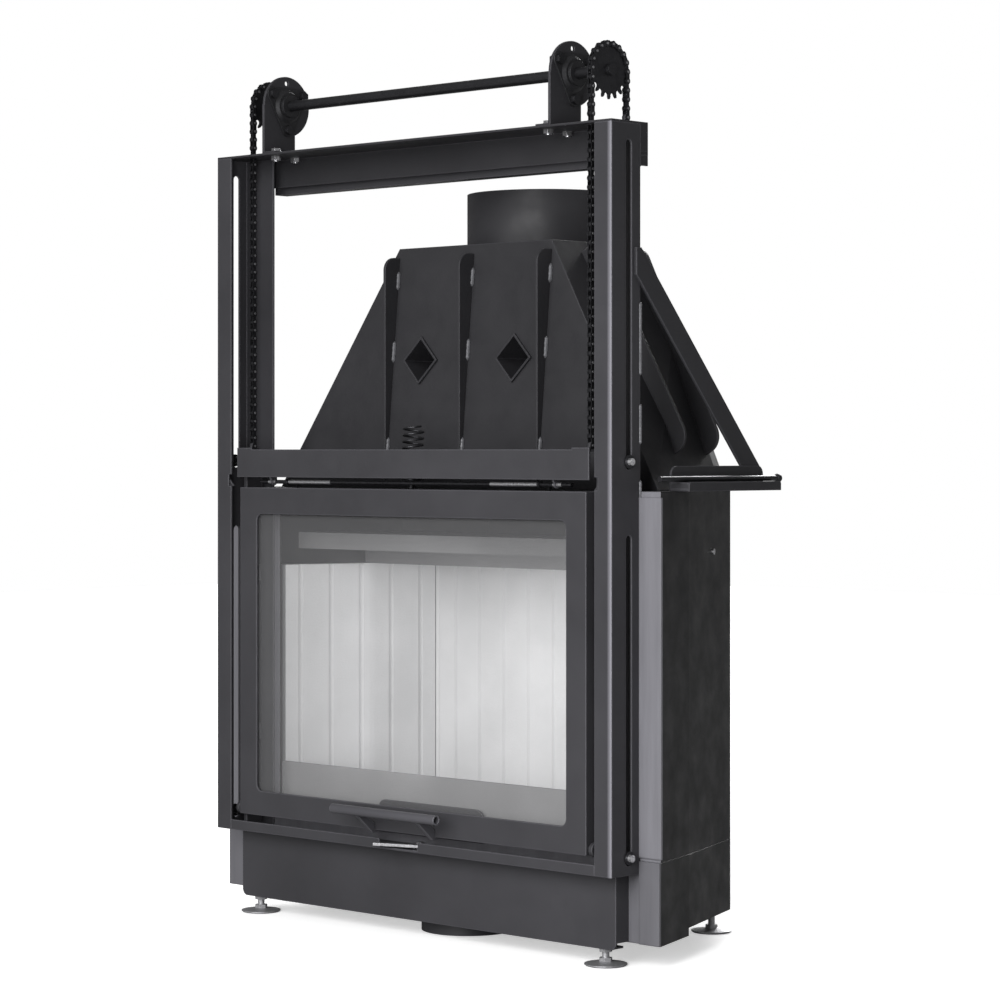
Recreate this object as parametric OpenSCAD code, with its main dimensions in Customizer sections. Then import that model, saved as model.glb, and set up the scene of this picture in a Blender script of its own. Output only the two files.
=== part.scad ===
/* [Lift frame] */
// Width of the frame beside the door, on each side
frame_side = 49; // [42:1:52]
// Height of the frame's bottom edge over the floor
frame_z = 115; // [114:1:118]
// Height of the uprights
frame_h = 1030; // [1030:1:1060]
// Depth of the uprights
frame_d = 60; // [58:1:62]
// Width of the uprights' front flanges
flange_w = 31; // [26:1:33]
// Width of the uprights' rear walls
rear_wall_w = 64; // [50:1:66]
// Thickness of the frame's sheet steel
sheet = 3; // [2:0.5:3.5]
// Width of the guide slots
slot_w = 12; // [12:0.5:14]
// Height of the top beam's rear flange
top_beam_h = 60; // [40:1:64]
// Depth of the top beam
top_beam_d = 76; // [75:1:78]

/* [Lift] */
// Travel of the door and of the counterweight
lift_travel = 430; // [300:1:430]
// Diameter of the lift shaft
shaft_d = 16; // [14:1:18]
// Number of teeth of each sprocket
sprocket_teeth = 18; // [18:1:19]
// Pitch of the roller chain
chain_pitch = 12.7; // [12.5:0.1:12.8]
// Thickness of the sprockets
sprocket_t = 3; // [2.6:0.1:3]
// Distance of each chain from the frame's outer face
chain_in = 57; // [56:1:59]
// Height of the shaft over the uprights
shaft_rise = 79; // [76:1:90]
// Distance of the left bracket from its sprocket
left_bracket_gap = 34; // [26:1:60]
// Distance of the right bracket from its sprocket
right_bracket_gap = 69; // [50:1:80]
// Thickness of the brackets
bracket_t = 4; // [3:0.5:5]
// Height of the counterweight beam
weight_h = 72; // [40:1:74]
// Depth of the counterweight beam
weight_d = 24.5; // [24:0.5:28]
// Diameter of the guide bushes in the slots
bush_d = 11.4; // [9:0.2:11.4]

/* [Door] */
// Width of the door's rails beside the glass
door_rail = 37; // [34:1:40]
// Height of the door's rail under the glass
low_rail = 37; // [34:1:40]
// Height of the door's rail over the glass
top_rail = 40; // [36:1:42]
// Depth of the door
door_d = 27; // [24:1:29]
// Width of the glass opening
glass_w = 638; // [600:1:640]
// Height of the glass opening
glass_h = 422; // [400:1:426]
// Thickness of the ceramic glass
glass_t = 4; // [3:0.5:5]
// Height of the crossbar over the door
crossbar_h = 42; // [38:0.5:44]
// Length of the handle
handle_l = 214; // [180:1:240]
// Diameter of the handle tube
handle_d = 14; // [12:1:16]
// How far the handle stands in front of the frame
handle_reach = 44; // [42:1:50]

/* [Body] */
// How far the casing's front strips stand out beside the frame
strip_out = 40; // [39:1:43]
// Depth from the front of the lift frame to the back wall
body_d = 440; // [438:1:450]
// Height of the top of the casing over the floor
body_z = 640; // [638:1:641]
// Thickness of the casing's steel
wall = 4; // [3:0.5:5]
// How far the firebox mouth is wider than the glass opening, on each side
mouth_side = 11; // [4:1:13]
// Height of the hearth slab
hearth_h = 28; // [20:1:30]
// Thickness of the firebox lining
lining_t = 25; // [20:1:28]
// Width of one board of the grooved lining
groove_pitch = 52; // [40:1:70]
// Height of the lining
lining_h = 355; // [320:1:360]
// Outer diameter of the air inlet collar
inlet_d = 139; // [120:1:142]
// How far the levelling feet are screwed out
feet_out = 14; // [14:1:30]

/* [Hood] */
// Height of the top of the hood over the floor
hood_z = 1003; // [990:1:1010]
// Width of the hood's top plate
hood_top_w = 314; // [300:1:330]
// How far the hood's base stands in from the front strips
hood_in = 57; // [55:1:70]
// Outer diameter of the flue collar
flue_d = 236; // [220:1:240]
// Height of the flue collar
flue_h = 82; // [70:1:100]
// Side of the square air ducts through the hood
duct_side = 51; // [44:1:54]
// Diameter of the damper's spindle
spindle_d = 10; // [8:1:12]

/* [Hidden] */

$fn = 48;
steel = [0.17, 0.17, 0.18];
dark_steel = [0.11, 0.11, 0.12];
bright_steel = [0.75, 0.76, 0.78];
lining_colour = [0.74, 0.74, 0.73];
seal_colour = [0.25, 0.25, 0.25];
glass_colour = [0.6, 0.62, 0.63, 0.35];

// Radial clearance of a shaft in its bore
running = 0.05;
// Gap between pieces that pass each other
gap = 0.3;

// Widths from the glass outwards, and the door's height
door_w = glass_w + 2 * door_rail;
frame_w = door_w + 2 * frame_side;
body_w = frame_w + 2 * strip_out;
mouth_w = glass_w + 2 * mouth_side;
hood_base_w = body_w - 2 * hood_in;
chain_x = frame_w / 2 - chain_in;
door_h = low_rail + glass_h + top_rail;

// Lift frame
frame_top = frame_z + frame_h;
half_w = frame_w / 2;
inner_w = half_w - sheet;
slot_y = 36;
guide_low = frame_z + 24;
guide_up = frame_z + 26 + door_h + 41;

// Chain drive
shaft_y = 59;
shaft_z = frame_top + shaft_rise;
sprocket_r = chain_pitch / 2 / sin(180 / sprocket_teeth);
tooth_h = 4.2;
front_chain_y = shaft_y - sprocket_r;
rear_chain_y = shaft_y + sprocket_r;
roller_d = 7.75;
link_h = 9;
link_t = 1;
link_in = 3.4;
link_gap = 0.15;
pin_d = 3.6;
pin_l = 9.2;
lug_t = 4.6;
lug_r = 5;

// Bearing brackets
left_plate_x = -chain_x + left_bracket_gap - bracket_t / 2;
right_plate_x = chain_x - right_bracket_gap - bracket_t / 2;
head_r = 46;
stem_y = 12;
stem_w = 64;
foot_w = 24;
foot_bolts = [26, 66];
bearing_t = 3;
bearing_hub = 34;
bearing_circle = 71.5;
bearing_lobes = [30, 150, 270];
bolt_d = 8;

// Carriage and door
arm_t = 6;
arm_y = 20;
arm_w = 30;
arm_x = door_w / 2 + 4;
hinge_y = 14;
hinge_z = frame_z + 34;
hinge_d = 8;
door_y = 3;
door_z = frame_z + 26;
door_top = door_z + door_h;
glass_z = door_z + low_rail;
glass_top = glass_z + glass_h;
glass_over = 14;
seal_t = 2.5;
glass_y = door_y + sheet + seal_t;
bar_z = door_top + 16;
bar_top = bar_z + crossbar_h;
bar_y = 2;
bar_d = arm_y + arm_w;
latch_d = 6;
latch_y = 14;
latch_z = door_top + 9;
latch_l = door_w - 72;
hook_x = latch_l / 2 - 62;
hook_t = 4;
handle_y = -handle_reach + handle_d / 2;
handle_z = 172;
arm_pitch = 124;

// Counterweight
weight_y = rear_chain_y - weight_d / 2;
weight_top = frame_top + 5;
weight_half = half_w - 40;

// Chain runs: an odd number of links, so that both ends are outer links
function run_links(length) = 2 * floor((length / chain_pitch - 1) / 2) + 1;
front_links = run_links(shaft_z - bar_top - 4.6);
rear_links = run_links(shaft_z - weight_top - 8);
anchor_z = shaft_z - front_links * chain_pitch;
weight_pin_z = shaft_z - rear_links * chain_pitch;

// Body
casing_y = frame_d;
strip_x = body_w / 2;
side_x = strip_x - 3;
waist_x = side_x - 34;
waist_y = 160;
corner_x = side_x - 101;
corner_y = 333;
back_x = side_x - 197;
seam_z = frame_z + 18;
base_low = 19;
base_z = 30;
floor_z = seam_z + wall;
hearth_z = floor_z + hearth_h;
guard_y = 66;
guard_t = 6;
back_lining_y = 325;
plinth_y = 33;
plinth_z = 10;
plinth_half = half_w - 21;
front_foot = [half_w - 50, 45];
rear_foot = [side_x - 167, 370];
foot_stem = 10;
inlet_y = 138;

// Hood
hood_y = 118;
hood_top_y = 150;
hood_back = body_d - 3;
flue_y = 305;
damper_z = hood_z + 18;
duct_x = 96;
duct_z = 832;
duct_wall = 3;
duct_rim = 4;
rib_y = hood_y - 1;
rib_t = 4;

// Side ledge
brace_t = 4;
ledge_x = half_w + brace_t;
ledge_y = 117;
ledge_l = 203;
ledge_h = 35;
rod_d = 8;
lock_x = (ledge_x + strip_x) / 2;
lock_z = body_z + 17;

function casing_plan(t) = let (k = 1.07 * t)
    [[side_x - k, casing_y + t], [waist_x - k, waist_y], [corner_x - k, corner_y - 0.3 * t],
     [back_x - 0.6 * t, body_d - t], [-back_x + 0.6 * t, body_d - t],
     [-corner_x + k, corner_y - 0.3 * t], [-waist_x + k, waist_y], [-side_x + k, casing_y + t]];

function hood_base(t) =
    [[hood_base_w / 2 - t, hood_y + t], [corner_x - 5 - t, corner_y], [back_x - 2 - t, hood_back - t],
     [-back_x + 2 + t, hood_back - t], [-corner_x + 5 + t, corner_y], [-hood_base_w / 2 + t, hood_y + t]];

module block(a, b) translate(a) cube(b - a);

// A bar between two X positions, from a profile of Y and Z points
module bar_x(x0, x1) translate([x0, 0, 0]) rotate([90, 0, 90]) linear_extrude(x1 - x0) children();

// A plate between two Y positions, from an outline of X and Z points
module plate_y(y0, y1) translate([0, y1, 0]) rotate([90, 0, 0]) linear_extrude(y1 - y0) children();

module plate_z(z0, z1) translate([0, 0, z0]) linear_extrude(z1 - z0) children();

module rod_x(x0, x1, y, z, d) translate([x0, y, z]) rotate([0, 90, 0]) cylinder(h = x1 - x0, d = d);

module rod_y(y0, y1, x, z, d) translate([x, y0, z]) rotate([-90, 0, 0]) cylinder(h = y1 - y0, d = d);

module rod_z(z0, z1, x, y, d) translate([x, y, z0]) cylinder(h = z1 - z0, d = d);

module both_sides() {
    children();
    mirror([1, 0, 0]) children();
}

module rounded_opening(w, z0, z1, r) {
    translate([-w / 2 + r, z0]) square([w - 2 * r, z1 - z0]);
    translate([-w / 2, z0 + r]) square([w, z1 - z0 - 2 * r]);
    for (x = [-w / 2 + r, w / 2 - r], z = [z0 + r, z1 - r]) translate([x, z]) circle(r = r);
}

// A plate with its two upper corners rounded
module tab(w, h, r) {
    square([w, h - r]);
    translate([r, 0]) square([w - 2 * r, h]);
    for (x = [r, w - r]) translate([x, h - r]) circle(r = r);
}

module hex_bolt(d, head_h, length) {
    cylinder(h = head_h, d = 1.875 * d, $fn = 6);
    translate([0, 0, -length]) cylinder(h = length, d = d);
}

module nut(d, h) difference() {
    cylinder(h = h, d = 1.875 * d, $fn = 6);
    translate([0, 0, -1]) cylinder(h = h + 2, d = d);
}

// Lift frame

module guide_slot(centre_low) {
    z0 = centre_low - slot_w / 2 - 5;
    z1 = centre_low + lift_travel + slot_w / 2 + 5;
    block([-1, slot_y - slot_w / 2, z0 + slot_w / 2], [sheet + 1, slot_y + slot_w / 2, z1 - slot_w / 2]);
    for (z = [z0 + slot_w / 2, z1 - slot_w / 2]) rod_x(-1, sheet + 1, slot_y, z, slot_w);
}

// A C profile with a wide rear wall, slotted for the guides, with a notch at the door's top edge
module upright() difference() {
    plate_z(frame_z, frame_top) {
        square([sheet, frame_d]);
        square([flange_w, sheet]);
        translate([0, frame_d - sheet]) square([rear_wall_w, sheet]);
    }
    for (z = [guide_low, guide_up]) guide_slot(z);
    block([flange_w - 6, -1, door_top + 2], [flange_w + 1, sheet + 1, door_top + 20]);
}

module left_upright() color(steel) translate([-half_w, 0, 0]) upright();

module right_upright() color(steel) mirror([1, 0, 0]) translate([-half_w, 0, 0]) upright();

module door_catches() color(steel) both_sides() plate_y(sheet, 2 * sheet)
    polygon([[half_w - flange_w - 3, door_top + 2], [half_w - flange_w + 14, door_top + 2],
             [half_w - flange_w + 14, door_top + 20]]);

// The top beam lies on the uprights, its rear flange hangs down behind them
module top_beam() color(steel) difference() {
    union() {
        block([-half_w, 0, frame_top], [half_w, top_beam_d, frame_top + sheet]);
        block([-half_w, top_beam_d - sheet, frame_top + sheet - top_beam_h], [half_w, top_beam_d, frame_top + 1]);
        both_sides() block([inner_w, frame_d, frame_top + sheet - top_beam_h],
                           [half_w, top_beam_d, frame_top + 1]);
    }
    for (x = [-chain_x, chain_x])
        block([x - 7, front_chain_y - 9, frame_top - 1], [x + 7, front_chain_y + 9, frame_top + sheet + 1]);
    for (x = [left_plate_x + bracket_t + foot_w / 2, right_plate_x - foot_w / 2], y = foot_bolts)
        rod_z(frame_top - 1, frame_top + sheet + 1, x, y, bolt_d);
}

// The sill: a floor between the uprights with a front lip, notched for the air lever
module door_sill() color(steel) difference() {
    lip = half_w - flange_w;
    union() {
        block([-inner_w, sheet, frame_z], [inner_w, frame_d - sheet, frame_z + sheet]);
        block([-lip, 0, frame_z], [lip, sheet, frame_z + 15]);
    }
    block([-48, -1, frame_z + sheet], [32, sheet + 1, frame_z + 16]);
    rod_z(frame_z - 1, frame_z + sheet + 1, lever_x, lever_y, lever_pin);
}

// Chain lift

// A bracket stands on its foot, with a round head behind the bearing
module bracket(foot_x) difference() {
    union() {
        bar_x(0, bracket_t) {
            translate([shaft_y, shaft_z]) circle(r = head_r);
            translate([stem_y, frame_top + sheet]) square([stem_w, shaft_rise - sheet]);
        }
        block([foot_x, stem_y, frame_top + sheet],
              [foot_x + foot_w + (foot_x > 0 ? 0 : 1), stem_y + stem_w, frame_top + sheet + bracket_t]);
    }
    rod_x(-1, bracket_t + 1, shaft_y, shaft_z, bearing_hub);
    for (a = concat(bearing_lobes, [90]))
        rod_x(-1, bracket_t + 1, shaft_y + bearing_circle / 2 * cos(a),
              shaft_z + bearing_circle / 2 * sin(a), bolt_d);
    for (y = foot_bolts)
        rod_z(frame_top, frame_top + 20, foot_x + foot_w / 2, y, bolt_d);
}

module left_bracket() color(steel) translate([left_plate_x, 0, 0]) bracket(bracket_t);

module right_bracket() color(steel) translate([right_plate_x, 0, 0]) bracket(-foot_w);

// A pressed bearing flange with three lobes round its hub
module bearing() translate([bracket_t, 0, 0]) difference() {
    lobe = bearing_circle / 2;
    lobe_r = 10;
    union() {
        bar_x(0, bearing_t) translate([shaft_y, shaft_z]) {
            for (a = bearing_lobes) rotate(a) translate([lobe, 0]) circle(r = lobe_r);
            polygon([for (a = bearing_lobes) for (b = [a - 60, a + 60])
                lobe * [cos(a), sin(a)] + lobe_r * [cos(b), sin(b)]]);
        }
        rod_x(-bracket_t - 4, bearing_t + 8, shaft_y, shaft_z, bearing_hub);
        translate([bearing_t, shaft_y, shaft_z]) rotate([0, 90, 0]) cylinder(h = 4, d1 = 52, d2 = 42);
    }
    rod_x(-20, 30, shaft_y, shaft_z, shaft_d + 2 * running);
    for (a = bearing_lobes)
        rod_x(-1, bearing_t + 1, shaft_y + lobe * cos(a), shaft_z + lobe * sin(a), bolt_d);
}

module left_bearing() color(dark_steel) translate([left_plate_x, 0, 0]) bearing();

module right_bearing() color(dark_steel) translate([right_plate_x, 0, 0]) bearing();

module bearing_bolts() color(bright_steel) for (x = [left_plate_x, right_plate_x], a = bearing_lobes)
    translate([x, shaft_y + bearing_circle / 2 * cos(a), shaft_z + bearing_circle / 2 * sin(a)])
        rotate([0, 90, 0]) {
            translate([0, 0, bracket_t + bearing_t]) hex_bolt(bolt_d, 5, bracket_t + bearing_t + 8);
            translate([0, 0, -6]) nut(bolt_d, 6);
        }

module bracket_bolts() color(bright_steel)
    for (x = [left_plate_x + bracket_t + foot_w / 2, right_plate_x - foot_w / 2], y = foot_bolts)
        translate([x, y, 0]) {
            translate([0, 0, frame_top + sheet + bracket_t]) hex_bolt(bolt_d, 5, sheet + bracket_t + 8);
            translate([0, 0, frame_top - 6]) nut(bolt_d, 6);
        }

module lift_shaft() color(dark_steel)
    rod_x(-chain_x - sprocket_t / 2 - 6, chain_x + sprocket_t / 2 + 6, shaft_y, shaft_z, shaft_d);

// A chain sprocket: pointed teeth between roller seats, with a hub on the inner side
module sprocket(hub) translate([0, shaft_y, shaft_z]) difference() {
    union() {
        bar_x(-sprocket_t / 2, sprocket_t / 2) difference() {
            union() {
                circle(r = sprocket_r - 3, $fn = 90);
                for (i = [0 : sprocket_teeth - 1]) rotate((i + 0.5) * 360 / sprocket_teeth)
                    polygon([[sprocket_r - 7, -5.2], [sprocket_r, -2.6], [sprocket_r + tooth_h, -0.9],
                             [sprocket_r + tooth_h, 0.9], [sprocket_r, 2.6], [sprocket_r - 7, 5.2]]);
            }
            for (i = [0 : sprocket_teeth - 1]) rotate(i * 360 / sprocket_teeth)
                translate([sprocket_r, 0]) circle(d = roller_d + 2 * gap, $fn = 24);
        }
        rod_x(hub > 0 ? 0 : -10, hub > 0 ? 10 : 0, 0, 0, 28);
    }
    rod_x(-20, 20, 0, 0, shaft_d);
}

module left_sprocket() color(dark_steel) translate([-chain_x, 0, 0]) sprocket(1);

module right_sprocket() color(dark_steel) translate([chain_x, 0, 0]) sprocket(-1);

// A pair of link plates, waisted between their two round ends
module link_plates(inner) for (s = [-1, 1])
    translate([s * (inner + link_t / 2) - link_t / 2, 0, 0]) bar_x(0, link_t) {
        for (z = [0, chain_pitch]) translate([0, z]) circle(d = link_h, $fn = 24);
        translate([-link_h * 0.36, 0]) square([link_h * 0.72, chain_pitch]);
    }

// An inner link: two plates and two bored rollers
module inner_link() difference() {
    union() {
        link_plates(link_in / 2);
        for (z = [0, chain_pitch]) rod_x(-link_in / 2, link_in / 2, 0, z, roller_d, $fn = 24);
    }
    for (z = [0, chain_pitch]) rod_x(-link_in, link_in, 0, z, pin_d + 2 * link_gap, $fn = 24);
}

// An outer link: two plates outside the inner ones, riveted on two pins
module outer_link() {
    link_plates(link_in / 2 + link_t + link_gap);
    for (z = [0, chain_pitch]) rod_x(-pin_l / 2, pin_l / 2, 0, z, pin_d, $fn = 24);
}

module chain_link(outer) if (outer) outer_link(); else inner_link();

// A hanging strand, its first link and its last are outer links
module strand(x, y, links) for (i = [1 : links])
    translate([x, y, shaft_z - i * chain_pitch]) chain_link(i % 2 == 1);

// The chain over the upper half of its sprocket, an inner link at each end
module wrap(x) for (i = [0 : sprocket_teeth / 2 - 1])
    translate([x, shaft_y, shaft_z]) rotate([i * 360 / sprocket_teeth, 0, 0])
        translate([0, sprocket_r, 0]) rotate([180 / sprocket_teeth, 0, 0]) chain_link(i % 2 == 1);

module left_front_chain() color(dark_steel) strand(-chain_x, front_chain_y, front_links);

module right_front_chain() color(dark_steel) strand(chain_x, front_chain_y, front_links);

module left_rear_chain() color(dark_steel) strand(-chain_x, rear_chain_y, rear_links);

module right_rear_chain() color(dark_steel) strand(chain_x, rear_chain_y, rear_links);

module left_chain_wrap() color(dark_steel) wrap(-chain_x);

module right_chain_wrap() color(dark_steel) wrap(chain_x);

module counterweight() color(steel)
    block([-weight_half, weight_y, weight_top - weight_h], [weight_half, weight_y + weight_d, weight_top]);

// An upright lug with a hole for the last pin of the chain
module chain_lug(y, z_foot, z_pin, foot) difference() {
    bar_x(-lug_t / 2, lug_t / 2) {
        translate([y, z_pin]) circle(r = lug_r);
        translate([y - foot / 2, z_foot]) square([foot, 3]);
        translate([y - lug_r, z_foot]) square([2 * lug_r, z_pin - z_foot]);
    }
    rod_x(-lug_t, lug_t, y, z_pin, pin_d + 2 * link_gap);
}

module counterweight_lugs() color(steel) for (x = [-chain_x, chain_x])
    translate([x, 0, 0]) chain_lug(rear_chain_y, weight_top, weight_pin_z, weight_d - 1);

// Carriage

// The crossbar: a front plate with a top flange, raised end tabs and two ears for the latch bar
module carriage_bar() color(steel) difference() {
    union() {
        bar_x(-arm_x - 2, arm_x + 2) translate([bar_y, bar_z]) square([sheet, crossbar_h]);
        bar_x(-arm_x, arm_x) translate([bar_y, bar_top - sheet]) square([bar_d - bar_y, sheet]);
        both_sides() block([arm_x - 30, bar_y, bar_top - 1], [arm_x + 2, bar_y + sheet, bar_top + 2.5]);
        both_sides() bar_x(latch_l / 2 - 30, latch_l / 2 - 30 + sheet) {
            polygon([[bar_y + sheet - 1, bar_z + 2], [latch_y - latch_d + 1, latch_z], [latch_y + latch_d - 1, latch_z],
                     [latch_y + latch_d - 1, bar_z + 12], [bar_y + sheet - 1, bar_z + 22]]);
            translate([latch_y, latch_z]) circle(d = latch_d + 4.6);
        }
    }
    rod_x(-latch_l, latch_l, latch_y, latch_z, latch_d + 2 * running);
}

// A flat arm from the crossbar down to the hinge, with the two guide holes
module arm() difference() {
    bar_x(arm_x, arm_x + arm_t) {
        translate([arm_y, guide_low - 14]) square([arm_w, bar_top - guide_low + 14]);
        translate([hinge_y, hinge_z]) circle(r = 10);
        translate([hinge_y, hinge_z - 10]) square([arm_y - hinge_y + 1, 20]);
    }
    rod_x(arm_x - 1, arm_x + arm_t + 1, hinge_y, hinge_z, hinge_d);
    for (z = [guide_low, guide_up]) rod_x(arm_x - 1, arm_x + arm_t + 1, slot_y, z, 6);
}

module left_arm() color(steel) mirror([1, 0, 0]) arm();

module right_arm() color(steel) arm();

module guide_bushes() color(dark_steel) both_sides() for (z = [guide_low, guide_up]) difference() {
    rod_x(arm_x + arm_t, half_w + gap, slot_y, z, bush_d);
    rod_x(arm_x, half_w + 1, slot_y, z, 6);
}

// Socket screws through the bushes, each with its washer outside the slot
module guide_bolts() color(bright_steel) both_sides() for (z = [guide_low, guide_up]) difference() {
    union() {
        rod_x(arm_x, half_w + gap + 1, slot_y, z, 6);
        rod_x(half_w + gap, half_w + gap + 1.6, slot_y, z, 19);
        rod_x(half_w + gap + 1, half_w + gap + 7, slot_y, z, 10);
    }
    translate([half_w + gap + 4, slot_y, z]) rotate([0, 90, 0]) cylinder(h = 4, d = 5.8, $fn = 6);
}

module chain_anchors() color(steel) for (x = [-chain_x, chain_x])
    translate([x, 0, 0]) chain_lug(front_chain_y, bar_top, anchor_z, 20);

module hinge_pins() color(bright_steel) both_sides()
    rod_x(door_w / 2 - 12, arm_x + arm_t, hinge_y, hinge_z, hinge_d);

// The latch rod in the gap over the door, with two hooks behind the door's top edge
module latch_bar() color(bright_steel) {
    rod_x(-latch_l / 2, latch_l / 2, latch_y, latch_z, latch_d);
    both_sides() bar_x(hook_x, hook_x + hook_t) {
        translate([latch_y, latch_z]) circle(d = latch_d + 5);
        translate([latch_y, latch_z - 3]) square([door_d + door_y - latch_y + 5, 6]);
        translate([door_y + door_d + 1, latch_z - 16]) square([4, 19]);
    }
}

// Door

module door_frame() color(steel) difference() {
    block([-door_w / 2, door_y, door_z], [door_w / 2, door_y + door_d, door_top]);
    block([-door_w / 2 + sheet, door_y + sheet, door_z + sheet],
          [door_w / 2 - sheet, door_y + door_d + 1, door_top - sheet]);
    plate_y(door_y - 1, door_y + sheet + 1) rounded_opening(glass_w, glass_z, glass_top, 11);
    rod_x(-door_w, door_w, hinge_y, hinge_z, hinge_d + 2 * running);
}

module door_glass() color(glass_colour)
    block([-glass_w / 2 - glass_over, glass_y, glass_z - glass_over],
          [glass_w / 2 + glass_over, glass_y + glass_t, glass_top + glass_over]);

module glass_seal() color(seal_colour) plate_y(door_y + sheet, glass_y) difference() {
    rounded_opening(glass_w + 2 * glass_over - 2, glass_z - glass_over + 1, glass_top + glass_over - 1, 6);
    rounded_opening(glass_w + 6, glass_z - 3, glass_top + 3, 12);
}

// Clips between the glass and the door's edges
module glass_clips() color(steel) {
    y = glass_y + glass_t;
    for (x = [-230, 0, 230]) {
        block([x - 12, y, glass_top + 4], [x + 12, y + 3, door_top - sheet]);
        block([x - 12, y, door_z + sheet], [x + 12, y + 3, glass_z - 4]);
    }
    both_sides() for (z = [glass_z + 90, glass_top - 90])
        block([glass_w / 2 + 4, y, z - 12], [door_w / 2 - sheet, y + 3, z + 12]);
}

module handle_tube() color(steel) difference() {
    rod_x(-handle_l / 2, handle_l / 2, handle_y, handle_z, handle_d);
    rod_x(-handle_l / 2 - 1, handle_l / 2 + 1, handle_y, handle_z, handle_d - 4);
}

// Flat arms from the tube down and back under the door's bottom edge
module handle_arms() color(steel) difference() {
    for (x = [-arm_pitch / 2, arm_pitch / 2]) bar_x(x - 2.5, x + 2.5)
        polygon([[handle_y - 4, handle_z], [handle_y + 5, handle_z + 3], [2, door_z + 10], [door_y, door_z],
                 [door_y + 22, door_z], [door_y + 22, door_z - 4], [-2, door_z - 4]]);
    rod_x(-handle_l, handle_l, handle_y, handle_z, handle_d);
    block([-door_w, door_y, door_z], [door_w, door_y + door_d, door_top]);
}

// Body

// The firebox casing: slanted sides, a mouth in its front wall and bright front strips
module body_shell() color(steel) difference() {
    union() {
        plate_z(seam_z, body_z) polygon(casing_plan(0));
        both_sides() block([half_w, casing_y - sheet, seam_z + 5], [strip_x, casing_y + 1, body_z - 8]);
    }
    plate_z(floor_z, body_z - wall) polygon(casing_plan(wall));
    block([-mouth_w / 2, casing_y - 1, floor_z + 13], [mouth_w / 2, casing_y + wall + 1, body_z - 25]);
    plate_z(body_z - wall - 1, body_z + 1) polygon(hood_base(14));
    rod_z(seam_z - 1, floor_z + 1, 0, inlet_y, inlet_d - 30);
    block([half_w - 10, casing_y - 5, 0], [half_w, casing_y, body_z + 1]);
}

// The lower casing: its bottom is deeper at the front
module base_shell() color(steel) difference() {
    union() {
        plate_z(base_low, seam_z) polygon(casing_plan(0));
        both_sides() block([half_w, casing_y - sheet, base_low], [side_x, casing_y + 1, seam_z]);
    }
    plate_z(base_z + wall, seam_z + 1) polygon(casing_plan(wall));
    plate_z(base_low - 1, base_z) polygon(casing_plan(wall));
    block([-body_w, waist_y, 0], [body_w, body_d + 1, base_z]);
    rod_z(base_low, base_z + wall + 1, 0, inlet_y, inlet_d - 2 * sheet);
    for (s = [-1, 1]) rod_z(base_low, base_z + wall + 1, s * rear_foot[0], rear_foot[1], foot_stem);
}

module plinth() color(steel) difference() {
    union() {
        plate_y(plinth_y, plinth_y + sheet) translate([0, frame_z + plinth_z]) mirror([0, 1])
            translate([-plinth_half, plinth_z]) tab(2 * plinth_half, frame_z - plinth_z, 10);
        both_sides() block([plinth_half - sheet, plinth_y, plinth_z + 10], [plinth_half, casing_y, frame_z]);
        block([-plinth_half + 10, plinth_y, plinth_z], [plinth_half - 10, casing_y, plinth_z + sheet]);
        block([-plinth_half, plinth_y, frame_z - sheet], [plinth_half, casing_y, frame_z]);
    }
    for (s = [-1, 1]) rod_z(0, plinth_z + sheet + 1, s * front_foot[0], front_foot[1], foot_stem);
    rod_z(frame_z - 10, frame_z + 1, lever_x, lever_y, 14);
}

module foot(p, stem_top, nut_z) translate([p[0], p[1], 0]) {
    translate([0, 0, -feet_out]) rotate_extrude()
        polygon([[0, 0], [28, 0], [30, 1.5], [30, 3], [12, 5.5], [8, 6], [0, 6]]);
    translate([0, 0, -feet_out + 5]) cylinder(h = 6, d = 19, $fn = 6);
    translate([0, 0, -feet_out + 5]) cylinder(h = stem_top + feet_out - 5, d = foot_stem);
    translate([0, 0, nut_z - 5]) cylinder(h = 5, d = 19, $fn = 6);
}

module levelling_feet() color(bright_steel) for (s = [-1, 1]) {
    foot([s * front_foot[0], front_foot[1]], plinth_z + sheet + 12, plinth_z);
    foot([s * rear_foot[0], rear_foot[1]], base_z + wall + 10, base_z);
}

module air_collar() color(steel) difference() {
    rod_z(-feet_out + 1, base_z, 0, inlet_y, inlet_d);
    rod_z(-feet_out, base_z + 1, 0, inlet_y, inlet_d - 2 * sheet);
}

lever_x = 22;
lever_y = 16;
lever_pin = 6;
lever_w = 15;
lever_t = 4;
lever_l = 73.4;
lever_z = frame_z + sheet + 3;

module air_lever() color(bright_steel) translate([lever_x, lever_y, lever_z]) rotate([0, 0, 19.9])
    difference() {
        union() {
            translate([-lever_l, -lever_w / 2, 0]) cube([lever_l, lever_w, lever_t]);
            cylinder(h = lever_t, d = lever_w);
        }
        translate([0, 0, -1]) cylinder(h = lever_t + 2, d = lever_pin + 2 * running);
    }

module lever_screw() color(bright_steel) translate([lever_x, lever_y, 0]) {
    translate([0, 0, frame_z]) cylinder(h = lever_z + lever_t + gap + 1 - frame_z, d = lever_pin);
    translate([0, 0, frame_z + sheet]) cylinder(h = 3 - gap, d = 12);
    translate([0, 0, lever_z + lever_t + gap]) cylinder(h = 3.5, d = 12);
}

// A lining board with vertical grooves on its front face
module lining_board(length) linear_extrude(lining_h) difference() {
    count = floor(length / groove_pitch / 2 - 0.2);
    translate([-length / 2, 0]) square([length, lining_t]);
    for (i = [-count : count]) translate([i * groove_pitch, 0])
        polygon([[-5, -1], [5, -1], [4, 0], [1.5, 4], [-1.5, 4], [-4, 0]]);
}

module back_lining() color(lining_colour) translate([0, back_lining_y, hearth_z]) lining_board(500);

side_a = [mouth_w / 2 + 2, guard_y + guard_t + 3];
side_b = [252, back_lining_y - 3];

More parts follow.
